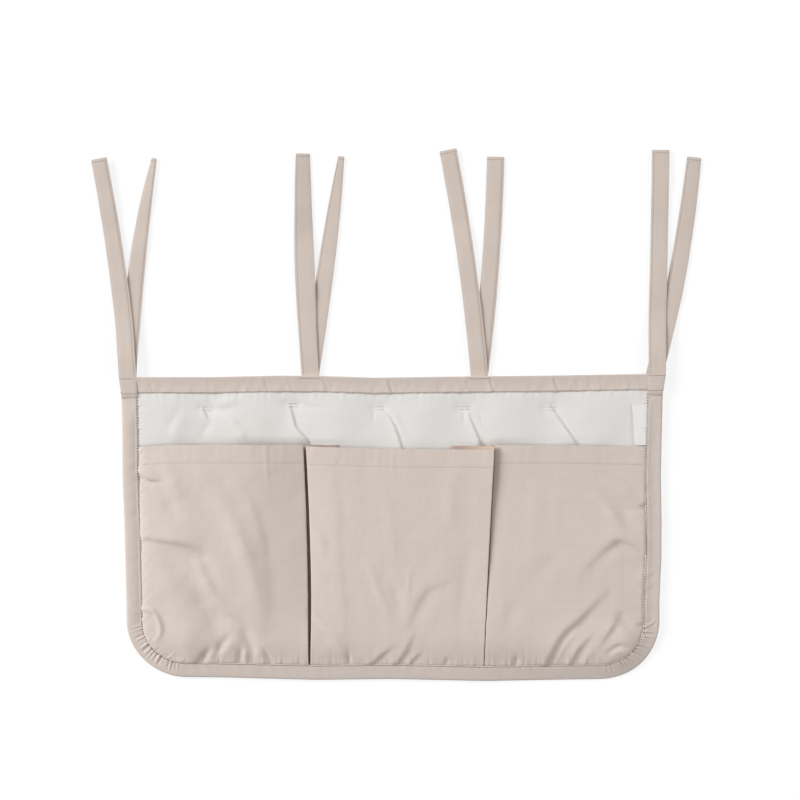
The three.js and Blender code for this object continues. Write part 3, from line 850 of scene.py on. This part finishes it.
LEFT_FOLDS = [
    tuck(1.4, 8, (-282, 63), (-275, 57), (-267, 53), (-257, 52.5), start=1, end=0.1),
    tuck(
        1.7, 10, (-282, -10), (-262, -13), (-245, -15.5), (-228, -19), (-214, -25),
        start=0.7, end=0, step=4,
    ),
    fold(-1.5, 9, (-252, -23), (-232, -28), (-218, -36), (-208, -48), end=0.5),
    fold(-1.4, 7, (-232, -22), (-216, -27), (-205, -38), (-194, -58), start=0.3),
    fold(1.5, 6, (-215, -40), (-210, -52), (-202, -68), (-187, -84), (-164, -106), start=0.5),
    fold(-1.3, 13, (-240, -34), (-224, -58), (-212, -80), (-200, -98), (-188, -118)),
    fold(1.4, 15, (-266, -34), (-250, -62), (-236, -95)),
    fold(1.2, 14, (-226, -152), (-228, -125), (-232, -100), start=1, end=0.3),
    fold(-1.9, 4.2, (-215, -153), (-210, -144), (-201, -131), start=1),
    fold(0.4, 5, (-204, -148), (-195, -138)),
    fold(-1.2, 4.5, (-197, -144), (-191, -132), (-182, -120)),
    fold(-1.8, 7, (-193, -95), (-168, -106), (-158, -126), (-156, -146), end=0.6),
    fold(0.6, 5, (-187, -140), (-180, -129), (-171, -119)),
    fold(-1.4, 3.6, (-170, -150), (-168, -130), start=1),
    fold(0.8, 4, (-163, -148), (-161, -132)),
    fold(-1.3, 3, (-135, -150), (-142, -134), start=1),
    fold(0.6, 4, (-148, -148), (-150, -130)),
    tuck(
        -0.8, 22, (-167, 54), (-156, 33), (-148, 10), (-141, -16), (-137, -50), (-136, -84),
        start=0.2, step=5.2,
    ),
    tuck(1.5, 24, (-262, -24), (-238, -31), (-216, -39), start=0.2, end=0, step=11),
    tuck(1.4, 28, (-198, -122), (-204, -106), (-214, -84), (-224, -62), start=0.4, step=10),
    fold(1.9, 11, (-210, 56), (-188, 26), (-170, -8), (-157, -45), (-150, -75), (-146, -104)),
    fold(0.3, 2.4, (-140, 93), (-139, 66), (-137, 42), start=0.8),
    fold(1.2, 36, (-162, 90), (-162, 0), (-167, -110), start=1, end=0.5),
    fold(1.2, 9, (-250, 74), (-243, 50), (-231, 32)),
    fold(-1.0, 8, (-257, 50), (-246, 24), (-234, 4)),
    fold(0.3, 2.2, (-172, -2), (-160, -25)),
    fold(1.4, 2.8, (-279, -88), (-267, -92), (-260, -104), (-259, -116), (-265, -126), start=1, end=0.3),
    fold(-0.4, 4, (-266, -86), (-254, -97), (-250, -112)),
]
MIDDLE_FOLDS = [
    tuck(-0.5, 16, (-62, 70), (-58, 20), (-57, -26), (-54, -64), (-50, -134), step=6, end=0.8),
    fold(0.8, 6, (-91, 6), (-79, -14), (-74, -31)),
    fold(0.9, 5, (-89, -90), (-78, -107), (-64, -119), (-55, -136)),
    fold(-0.6, 6, (-86, -102), (-76, -118), (-66, -130)),
    fold(-1.2, 2.6, (-47, -150), (-50, -136), start=1),
    tuck(1.1, 8, (-21, -149), (-11, -140), (0, -131), start=1, step=2.6),
    tuck(1.3, 9, (6, -150), (15, -136), (24, -117), start=1, step=3),
    tuck(1.0, 7, (21, -149), (31, -137), start=1, step=2.4),
    fold(-0.8, 3, (59, -150), (63, -142), start=1),
    tuck(-1.2, 13, (58, -60), (41, -67), (32, -78), (23, -97), (11, -119), start=0.3, step=6),
    fold(0.4, 9, (54, -72), (42, -92), (30, -114)),
    fold(-0.7, 6, (-7, -52), (4, -71), (8, -100)),
    fold(0.7, 5, (-24, -43), (-18, -63), (-10, -80), (-5, -96)),
    fold(0.2, 2, (2, 90), (1, 70), (4, 55), start=0.9),
    fold(0.25, 2, (2, -14), (4, -32)),
    fold(0.35, 3, (19, -45), (18, -62), (17, -80)),
    fold(0.5, 10, (-8, 40), (-4, 0), (-2, -30)),
    fold(0.5, 8, (66, 60), (62, 0)),
    fold(-0.5, 8, (88, -20), (80, -60), (76, -100)),
]
RIGHT_FOLDS = [
    tuck(
        -2.1, 13, (283, -32), (272, -22), (253, -14), (242, -19), (227, -32), (203, -60),
        start=1, end=0, step=5.6,
    ),
    fold(0.5, 10, (270, -34), (251, -30), (236, -42)),
    tuck(-2.0, 9, (246, -64), (225, -84), (207, -102), (188, -119), (172, -149), start=0, end=1.1, step=4.8),
    fold(0.6, 3.5, (206, -112), (192, -128), (181, -148), end=0.8),
    tuck(-1.5, 7, (221, -118), (207, -134), (198, -150), start=0.2, end=1, step=3.4),
    fold(0.5, 4.5, (224, -130), (212, -148), end=0.8),
    tuck(-1.5, 8, (253, -96), (243, -112), (230, -130), start=0.3, step=3.8),
    fold(-1.7, 5.5, (252, -98), (262, -108), (276, -118), end=0.8),
    tuck(-0.5, 10, (277, 40), (258, 54), (238, 62), start=0.9, step=2.4),
    fold(1.2, 6, (240, 50), (258, 40), (275, 29), end=0.9),
    fold(1.2, 6, (228, 34), (244, 16), (258, -3)),
    fold(-0.6, 7, (248, 30), (258, 18), (267, 2)),
    fold(-0.8, 3, (283, 24), (273, 25), start=1),
    fold(0.2, 4, (238, -150), (246, -140), (256, -138), (264, -143), start=1, end=0.6),
    fold(-1.2, 3, (240, -137), (250, -131), (262, -132)),
    fold(-1.3, 2.6, (282, -108), (272, -107), start=1),
    fold(-0.45, 10, (192, -23), (175, -38), (162, -51), (153, -74)),
    fold(-0.4, 8, (137, -75), (133, -93), (114, -121)),
    fold(-1.3, 3, (137, -151), (138, -139), start=1),
    fold(0.4, 10, (160, 60), (158, 20), (150, -20)),
]

LEFT_GAPE = ([-283, -245, -215, -160, -120, -97], [-1.0, -0.5, 1.6, 2.2, 2.0, 1.6])
MIDDLE_GAPE = ([-94, -70, -30, 10, 60, 95, 114], [1.8, 0.8, -0.6, 0.2, -0.2, 1.2, 1.8])
RIGHT_GAPE = ([114, 140, 170, 190, 200, 225, 284], [1.0, 1.3, 0.5, 1.0, 0.5, 0.7, 0.4])
POCKET_RUMPLES = [(0.16, 40, 1), (0.05, 11, 2), (0.08, 21, 4)]
BELLY = ([-110, -60, 40, 100, 150, 185, 240], [1.0, 1.1, 1.15, 1.35, 1.55, 1.4, 1.0])


def left_rise(from_side, up):
    return 0.3 * bulge(from_side / 9) + 0.7 * bulge(from_side / 60)


def middle_rise(from_side, up):
    return mix(1.2, 1.0, smooth(45, 200, up)) * np.ones_like(from_side)


def right_rise(from_side, up):
    wall = 0.12 * bulge(from_side / 3) + 0.8 * np.clip(from_side / 175, 0, 1)
    return wall * mix(1.95, 0.6, smooth(40, 220, up))


def pocket(name, left, right, folds, mouth, gape, edges, side_rise, puff, seed):
    """A pocket front, its hem stitches and the height of its cloth."""
    ys = np.concatenate([
        np.linspace(BOTTOM + EDGE_TAPE - SEAM_TUCK, BOTTOM + EDGE_TAPE + 16, 26),
        np.linspace(BOTTOM + EDGE_TAPE + 18, MOUTH - HEM - 2, 140),
        np.linspace(MOUTH - HEM - 1, MOUTH - 1, 20),
        [MOUTH - 0.4, MOUTH],
    ])
    rim = np.array([0, 0.0012, 0.003, 0.006, 0.011])
    share = np.concatenate([rim, np.linspace(0.018, 0.982, 120), 1 - rim[::-1]])
    y = np.repeat(ys[:, None], len(share), 1)
    x = mix(left(y), right(y), share[None, :])

    def height(x, y):
        inside = edge_distance(x, y) - tape_width(y)
        from_left = np.maximum(x - left(y), 0)
        from_right = np.maximum(right(y) - x, 0)
        up = y - BOTTOM - EDGE_TAPE
        from_side = half_width(y, 0) - np.abs(x) - tape_width(y)
        belly = np.interp(x, *BELLY)
        rise = mix(belly * bulge(inside / 42), side_rise(from_side, up), smooth(5, 50, up))
        rise = mix(rise, bulge(inside / 20), 0.65 * smooth(215, 265, x) * (1 - smooth(30, 60, up)))
        wall = bulge(inside / 1.6) * (1 - 0.7 * smooth(200, 260, x) * smooth(30, 60, up))
        level = SEAM_SEAT + POCKET_RISE * mix(wall, rise, 0.86)
        level += puff * smooth(10, 150, up) * bulge(np.minimum(from_left, from_right) / 60)
        for (lift, width), distance in zip(edges, (from_left, from_right)):
            level += lift * smooth(5, 60, up) * np.clip(1 - distance / width, 0, 1) ** 1.5
        roll = np.exp(-from_left / 0.35) + np.exp(-from_right / 0.35)
        level -= 0.5 * roll * smooth(0, 20, up)
        level += np.interp(x, *gape) * smooth(MOUTH - 70, MOUTH, y)
        level += FOLD_DEPTH * folds_height(x, y, folds)
        seam = np.exp(-np.maximum(inside, 0) / 6)
        run = np.where(np.abs(x) > CORNER_X, y - BOTTOM + np.abs(x), x)
        level += 0.9 * seam * ripple(run, 6.4, seed) * smooth(-0.2, 1.6, inside)
        for depth, size, more in POCKET_RUMPLES:
            level += depth * rumple(x, y, size, seed + more)
        hem_line = y - (MOUTH - HEM)
        level = level - 0.16 * bell(hem_line, 0.9) + 0.12 * smooth(-1, 1, hem_line)
        level += 0.12 * smooth(0, 4, hem_line) * ripple(x, 12, seed + 3)
        level = np.maximum(level, lining_height(x, y) + 2 * CLOTH)
        return mix(np.minimum(level, SEAM_SEAT - 0.5), level, smooth(-2.2, -0.4, inside))

    z = height(x, y)
    shift = np.interp(x, *mouth) * smooth(MOUTH - 120, MOUTH - HEM, y)
    points = np.stack([x, y + shift, z], -1)
    thickness = CLOTH + 0.7 * smooth(MOUTH - HEM - 1, MOUTH - HEM + 1, y)
    piece = add_piece(name, *shell(points, thickness), COTTON, "cotton")
    hem_row = int(np.abs(ys - (MOUTH - HEM)).argmin())
    hem = points[hem_row, 1:-1] + (0, 0, 0.05)
    stitches = sew(name + "_hem_stitches", [(hem, (0, 0, 1))], SHADED_STRAP_THREAD, thread=0.2)
    return piece, stitches, height


def left_side(y):
    return -side_edge(np.asarray(y, float), EDGE_TAPE - SEAM_TUCK)


def right_side(y):
    return -left_side(y)


left_pocket, left_hem, left_height = pocket(
    "left_pocket_front", left_side, left_fold, LEFT_FOLDS, LEFT_MOUTH, LEFT_GAPE,
    ((0, 1), (-3.4, 56)), left_rise, POCKET_PUFF, 41,
)
middle_pocket, middle_hem, middle_height = pocket(
    "middle_pocket_front", middle_left_fold, middle_right_fold, MIDDLE_FOLDS, MIDDLE_MOUTH, MIDDLE_GAPE,
    ((-1.8, 38), (2.2, 30)), middle_rise, POCKET_PUFF, 51,
)
right_pocket, right_hem, right_height = pocket(
    "right_pocket_front", right_fold, right_side, RIGHT_FOLDS, RIGHT_MOUTH, RIGHT_GAPE,
    ((-1.2, 18), (0, 1)), right_rise, 0, 61,
)


# Pleats under the pockets' free sides

PLEAT_DEPTH = 35
LEAF = 0.4


def pleat(name, seam, edge, side, front_height, peek):
    """A folded leaf from its seam to its turn and back to the pocket's free edge, and that edge's height."""
    ys = np.linspace(BOTTOM + EDGE_TAPE + 0.5, MOUTH + peek, 60)
    rows = []
    for y in ys:
        level = min(y, MOUTH)
        turn_x = seam(y) + side * PLEAT_DEPTH
        xs = np.array([
            seam(y) + 0.3 * side, mix(seam(y), turn_x, 0.4), turn_x, mix(seam(y), turn_x, 0.5), edge(level),
        ])
        ground = lining_height(xs, np.full(5, y)) + LEAF + 0.2
        high = float(front_height(np.array([edge(level)]), np.array([level]))[0]) - 1.0
        zs = np.maximum(ground + np.array([0, 0.1, 0.3, 0.8, 0]), [0, 0, 0, 0, high])
        section = curve(np.column_stack([xs, zs]), 5)
        rows.append(np.column_stack([section[:, 0], np.full(len(section), y), section[:, 1]]))
    points = np.array(rows)
    edge_height = np.percentile(points[ys > -60, -1, 2], 10)
    if side < 0:
        points = points[:, ::-1]
    return add_piece(name, *shell(points, LEAF), PLEAT_COTTON_PAINTED_SHADE, "cotton"), edge_height


PLEATS = [
    ("left_pocket", "left_pocket", left_seam, left_fold, -1, left_height, 0.6),
    ("middle_pocket_left", "middle_pocket", left_seam, middle_left_fold, 1, middle_height, 1.5),
    ("middle_pocket_right", "middle_pocket", right_seam, middle_right_fold, -1, middle_height, 0.6),
    ("right_pocket", "right_pocket", right_seam, right_fold, 1, right_height, 1.2),
]
pleats = []
for name, body, *form in PLEATS:
    piece, edge_height = pleat(name + "_gusset", *form)
    pleats.append((piece, name + "_pleat", body, edge_height))


# Ties


def tail(
    name, x, under, above, reach, middle, tip, seed,
    roll=0, tip_width=1, taper=3.4, spread=0, stitched=1, lift=0, start=0,
):
    """One tail of a folded strap: a flat two-layer ribbon that comes down and lies along the floor."""
    along = np.concatenate([[-3, -1.5], np.linspace(0, reach, int(reach / 3))])
    pressed = mix(0.5, 1, smooth(0, 30, along))
    share = np.clip(along, 0, None) / reach
    bend = 4 * middle - tip
    curl = 2 * tip - 4 * middle
    centre_x = x + bend * share + curl * share**2 + start * (1 - smooth(0, 110, along))
    rolled = np.clip(along - FORK_START, 0, None) / (reach - FORK_START)
    turn = np.radians(roll) * np.sin(np.pi / 2 * rolled)
    turn += 0.05 * ripple(along, 70, seed) * smooth(60, 120, along)
    half = TIE_WIDTH / 2 * (1 + 0.012 * ripple(along, 33, seed + 2) + spread * bell(along - 120, 60))
    half *= mix(1, tip_width, share**taper)
    low_edge = half * np.abs(np.sin(turn)) + TIE_THICKNESS / 2
    floor = above * (1 - smooth(FORK_START, FORK_END, along)) + low_edge
    floor = floor + lift * smooth(FORK_START, reach, along) + 0.5 * (1 + ripple(along, 60, seed + 1))
    z = mix(under + (above + TIE_THICKNESS / 2) * pressed, floor, smooth(0, TIE_DESCENT, along))
    middle_line = np.stack([centre_x, TIE_BASE + along, z], -1)
    tangent = unit(np.gradient(middle_line, axis=0))
    across = np.stack([tangent[:, 1], -tangent[:, 0], np.zeros(len(along))], -1)
    square = smooth(5, 60, along)[:, None]
    across = unit(mix(np.array([1.0, 0, 0]), across, square))
    lifted = np.cross(across, tangent)
    side = across * np.cos(turn)[:, None] + lifted * np.sin(turn)[:, None]
    normal = lifted * np.cos(turn)[:, None] - across * np.sin(turn)[:, None]
    spots = np.linspace(-1, 1, 17)
    pillow = (1 - 0.45 * np.abs(spots) ** 5) - 0.3 * bell(spots - SEAM_SPOT * stitched, 0.09)
    top = side[:, None, :] * (half[:, None] * spots)[..., None]
    thick = normal[:, None, :] * (TIE_THICKNESS / 2 * pressed[:, None] * pillow)[..., None]
    upper = middle_line[:, None, :] + top + thick
    lower = (middle_line[:, None, :] + top - thick)[:, ::-1]
    rings = np.concatenate([upper, lower], 1)
    piece = add_piece(name, *loop_mesh(rings[:, ::-1]), STRAP_COTTON, "cotton")
    edge_spot = int(np.abs(spots - SEAM_SPOT * stitched).argmin())
    seam = upper[2:-2, edge_spot] + normal[2:-2] * SEAM_LIFT
    end_row = len(along) - 2
    end = upper[end_row, 1:-1] + normal[end_row] * SEAM_LIFT
    stitches = sew(
        name + "_stitches", [(seam, normal[2:-2]), (end, normal[end_row])], SHADED_STRAP_THREAD, thread=0.4,
    )
    return piece, stitches


ROOT_REACH = 23.8
ROOT_SEAMS = (2.4, 18.6)
ROOT_TAPER = 2.0
INNER_REACH = 9


def corner_fold(name, x):
    """The sewn fold of a corner strap: two layers that lie on the front of the bound corner."""
    low_y = TOP - ROOT_REACH
    ys = np.linspace(low_y, TIE_BASE, 26)
    spots = np.linspace(-1, 1, 15)
    y = np.repeat(ys[:, None], len(spots), 1)
    outer = spots[None, :] * np.sign(x) > 0
    px = x + spots[None, :] * (TIE_WIDTH / 2 - ROOT_TAPER * outer * smooth(TOP, low_y, y))
    rounded = mix(1.5, 2.0, smooth(TOP - 12, TIE_BASE, y)) * bulge((y - low_y) / 5.0)
    seams = sum(bell(y - (TOP - inset), 1.0) for inset in ROOT_SEAMS)
    z = CORNER_TIE_UNDER + rounded - 0.3 - 0.4 * seams - 0.5 * np.abs(spots)[None, :] ** 6
    points = np.stack([px, y, z], -1)
    low = np.minimum(z - 0.4, CORNER_TIE_UNDER)
    piece = add_piece(name, *filled(points, low), STRAP_COTTON, "cotton")
    lines = []
    for inset in ROOT_SEAMS:
        row = int(np.abs(ys - (TOP - inset)).argmin())
        lines.append((points[row, 1:-1] + (0, 0, 0.1), (0, 0, 1)))
    return [piece, sew(name + "_stitches", lines, HOLE_SHADE_THREAD, thread=0.4)]


def inner_fold(name, x):
    """The sewn fold of an inner strap, caught inside the top band."""
    ys = np.linspace(TOP - INNER_REACH, TIE_BASE, 12)
    spots = np.linspace(-1, 1, 15)
    y = np.repeat(ys[:, None], len(spots), 1)
    px = x + spots[None, :] * TIE_WIDTH / 2 * np.ones_like(y)
    z = INNER_TIE_UNDER + 2.9 * bulge((y - TOP + INNER_REACH) / 3.0) - 0.3 * np.abs(spots)[None, :] ** 6
    points = np.stack([px, y, z], -1)
    low = np.minimum(z - 0.3, INNER_TIE_UNDER)
    return [add_piece(name, *filled(points, low), STRAP_COTTON, "cotton")]


LAYER_GAP = 0.2
TIES = [
    (
        -CORNER_TIE_X, CORNER_TIE_UNDER, corner_fold,
        dict(reach=243, middle=-13.6, tip=-33.6, tip_width=0.9, taper=2, lift=4, seed=71),
        dict(reach=244, middle=8.2, tip=27.6, roll=5, tip_width=0.28, seed=75),
    ),
    (
        INNER_TIE_XS[0], INNER_TIE_UNDER, inner_fold,
        dict(
            reach=249, middle=-6.3, tip=-8.3, roll=-8, tip_width=0.8, taper=6, spread=0.15,
            stitched=-1, seed=81,
        ),
        dict(reach=246, middle=17.6, tip=34.5, tip_width=0.34, stitched=-1, seed=85),
    ),
    (
        INNER_TIE_XS[1], INNER_TIE_UNDER, inner_fold,
        dict(reach=253, middle=-13.8, tip=-34.9, lift=1, seed=91),
        dict(reach=245.5, middle=12.4, tip=18.3, seed=95),
    ),
    (
        CORNER_TIE_X, CORNER_TIE_UNDER, corner_fold,
        dict(reach=253, middle=3.7, tip=6, stitched=-1, lift=2, seed=101),
        dict(reach=245, middle=26.1, tip=43.4, roll=-3, tip_width=0.82, stitched=-1, start=-2.5, seed=105),
    ),
]

straps = []
for number, (x, under, make_fold, front_form, back_form) in enumerate(TIES, 1):
    name = f"strap_{number}"
    front = tail(name + "_front", x, under, TIE_THICKNESS + LAYER_GAP, **front_form)
    behind = tail(name + "_back", x, under, 0, **back_form)
    straps.append((number, x, make_fold(name + "_fold", x), front, behind))


# Bare label in the right seam

LABEL_LOW = 92.8
LABEL_LENGTH = 41.4
LABEL_LEFT = (270.2, 267.0)
LABEL_RIGHT = 285.0
LABEL_LIFT = (2.0, 1.1)
LABEL_TOP = 9.8
LABEL_THICKNESS = 0.9
label_share = np.linspace(0, 1, 12)
label_up = np.linspace(0, 1, 24)[:, None]
label_y = np.repeat(LABEL_LOW + LABEL_LENGTH * label_up, 12, 1)
label_x = mix(mix(*LABEL_LEFT, label_up), LABEL_RIGHT, label_share[None, :])
label_z = lining_height(label_x, label_y) + mix(*LABEL_LIFT, label_share[None, :])
label_z = np.minimum(label_z, LABEL_TOP) + 0.1 * ripple(label_y, 40, 111)
label_points = np.stack([label_x, label_y, label_z], -1)
label = add_piece("seam_label", *shell(label_points, LABEL_THICKNESS), LABEL, "label")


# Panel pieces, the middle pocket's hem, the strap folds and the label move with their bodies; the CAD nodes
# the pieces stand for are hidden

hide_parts("front_lining")
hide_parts("back_panel")
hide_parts("wadding")
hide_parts(*[f"tack_{row}_{column}" for row in (1, 2, 3) for column in (1, 2, 3, 4, 5)])
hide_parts("edge_binding")
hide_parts("top_binding")
for piece in (lining, back, wadding, tacks, edge_tape, edge_stitches, top_band, band_stitches):
    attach(piece, "panel")

for piece in (left_pocket, left_hem):
    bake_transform(piece)
for piece in (right_pocket, right_hem):
    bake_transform(piece)
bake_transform(middle_pocket)
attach(middle_hem, "middle_pocket")
POCKETS = [
    ("left_pocket", left_pocket, left_hem, 0.19),
    ("middle_pocket", middle_pocket, middle_hem, 0.207),
    ("right_pocket", right_pocket, right_hem, 0.18),
]
for node, piece, hem, width in POCKETS:
    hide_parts(node)

for piece, node, body, high in pleats:
    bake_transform(piece)
    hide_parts(node)

for number, x, root, front, behind in straps:
    for piece in root:
        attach(piece, "panel")
    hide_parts(f"tie_{number}_root")
    back_node = f"tie_{number}_back"
    front_node = f"tie_{number}_front"
    for (piece, stitches), parent, node in ((behind, "panel", back_node), (front, back_node, front_node)):
        for each in (piece, stitches):
            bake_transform(each)
        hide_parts(node)

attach(label, "side_label")
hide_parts("side_label")


# Camera straight above, floor, light

FRAME_WIDTH = 0.888
FRAME_CENTRE = (0.0085, 0.143)
FRONT_Z = 0.009
camera_data = bpy.data.cameras.new("camera")
camera_data.lens = 85
camera_data.sensor_width = 36
camera = add_object("camera", camera_data)
camera.location = (*FRAME_CENTRE, FRONT_Z + FRAME_WIDTH * camera_data.lens / camera_data.sensor_width)
scene.camera = camera
scene.view_settings.view_transform = "Standard"


def split_by_ray(tree, lighting, seen, output):
    """One shader lights the part, the other is seen by the camera, in a gloss or through a clear surface."""
    path = tree.nodes.new("ShaderNodeLightPath")
    share = path.outputs["Is Camera Ray"]
    for kind in ("Is Glossy Ray", "Is Transmission Ray"):
        either = tree.nodes.new("ShaderNodeMath")
        either.operation = "MAXIMUM"
        tree.links.new(share, either.inputs[0])
        tree.links.new(path.outputs[kind], either.inputs[1])
        share = either.outputs[0]
    choice = tree.nodes.new("ShaderNodeMixShader")
    for socket, source in enumerate((share, lighting.outputs[0], seen.outputs[0])):
        tree.links.new(source, choice.inputs[socket])
    tree.links.new(choice.outputs[0], output.inputs["Surface"])


# Pale floor that is seen nearly white and keeps the shadow
FLOOR_SHADE = 0.22
FLOOR_GLOW = 0.81
FLOOR_HALF = 4.0
FLOOR_Z = -0.0003
floor_paint = bpy.data.materials.new("white_floor")
floor_paint.use_nodes = True
floor_tree = floor_paint.node_tree
floor_tree.nodes.clear()
plain = add_node(floor_tree, "ShaderNodeBsdfDiffuse", Color=(FLOOR_SHADE, FLOOR_SHADE, FLOOR_SHADE, 1))
glow = add_node(floor_tree, "ShaderNodeEmission", Color=WHITE, Strength=FLOOR_GLOW)
both = floor_tree.nodes.new("ShaderNodeAddShader")
floor_tree.links.new(plain.outputs[0], both.inputs[0])
floor_tree.links.new(glow.outputs[0], both.inputs[1])
split_by_ray(floor_tree, plain, both, floor_tree.nodes.new("ShaderNodeOutputMaterial"))
floor_corners = []
for side, end in ((-1, -1), (1, -1), (1, 1), (-1, 1)):
    floor_corners.append((side * FLOOR_HALF, end * FLOOR_HALF, FLOOR_Z))
floor_mesh = bpy.data.meshes.new("floor")
floor_mesh.from_pydata(floor_corners, [], [(0, 1, 2, 3)])
floor_mesh.materials.append(floor_paint)
add_object("floor", floor_mesh)

LIGHT_TARGET = (0, 0.05, 0)
BOX_SIZE = (3.6, 4.8)


def soft_box(name, place, power):
    """A large soft lamp that faces the part."""
    data = bpy.data.lights.new(name, "AREA")
    data.shape = "RECTANGLE"
    data.size = BOX_SIZE[0]
    data.size_y = BOX_SIZE[1]
    data.energy = power
    lamp = add_object(name, data)
    lamp.location = place
    direction = Vector(LIGHT_TARGET) - Vector(place)
    lamp.rotation_euler = direction.to_track_quat("-Z", "Y").to_euler()


soft_box("left_box", place=(-7.8, 2.95, 4.2), power=980)
soft_box("right_box", place=(7.8, 1.75, 4.8), power=325)

WORLD_LIGHT = 0.3
world = bpy.data.worlds.new("studio")
scene.world = world
world.use_nodes = True
sky = world.node_tree
lighting = sky.nodes["Background"]
lighting.inputs["Color"].default_value = WHITE
lighting.inputs["Strength"].default_value = WORLD_LIGHT
backdrop = add_node(sky, "ShaderNodeBackground", Color=WHITE, Strength=1.0)
split_by_ray(sky, lighting, backdrop, sky.nodes["World Output"])
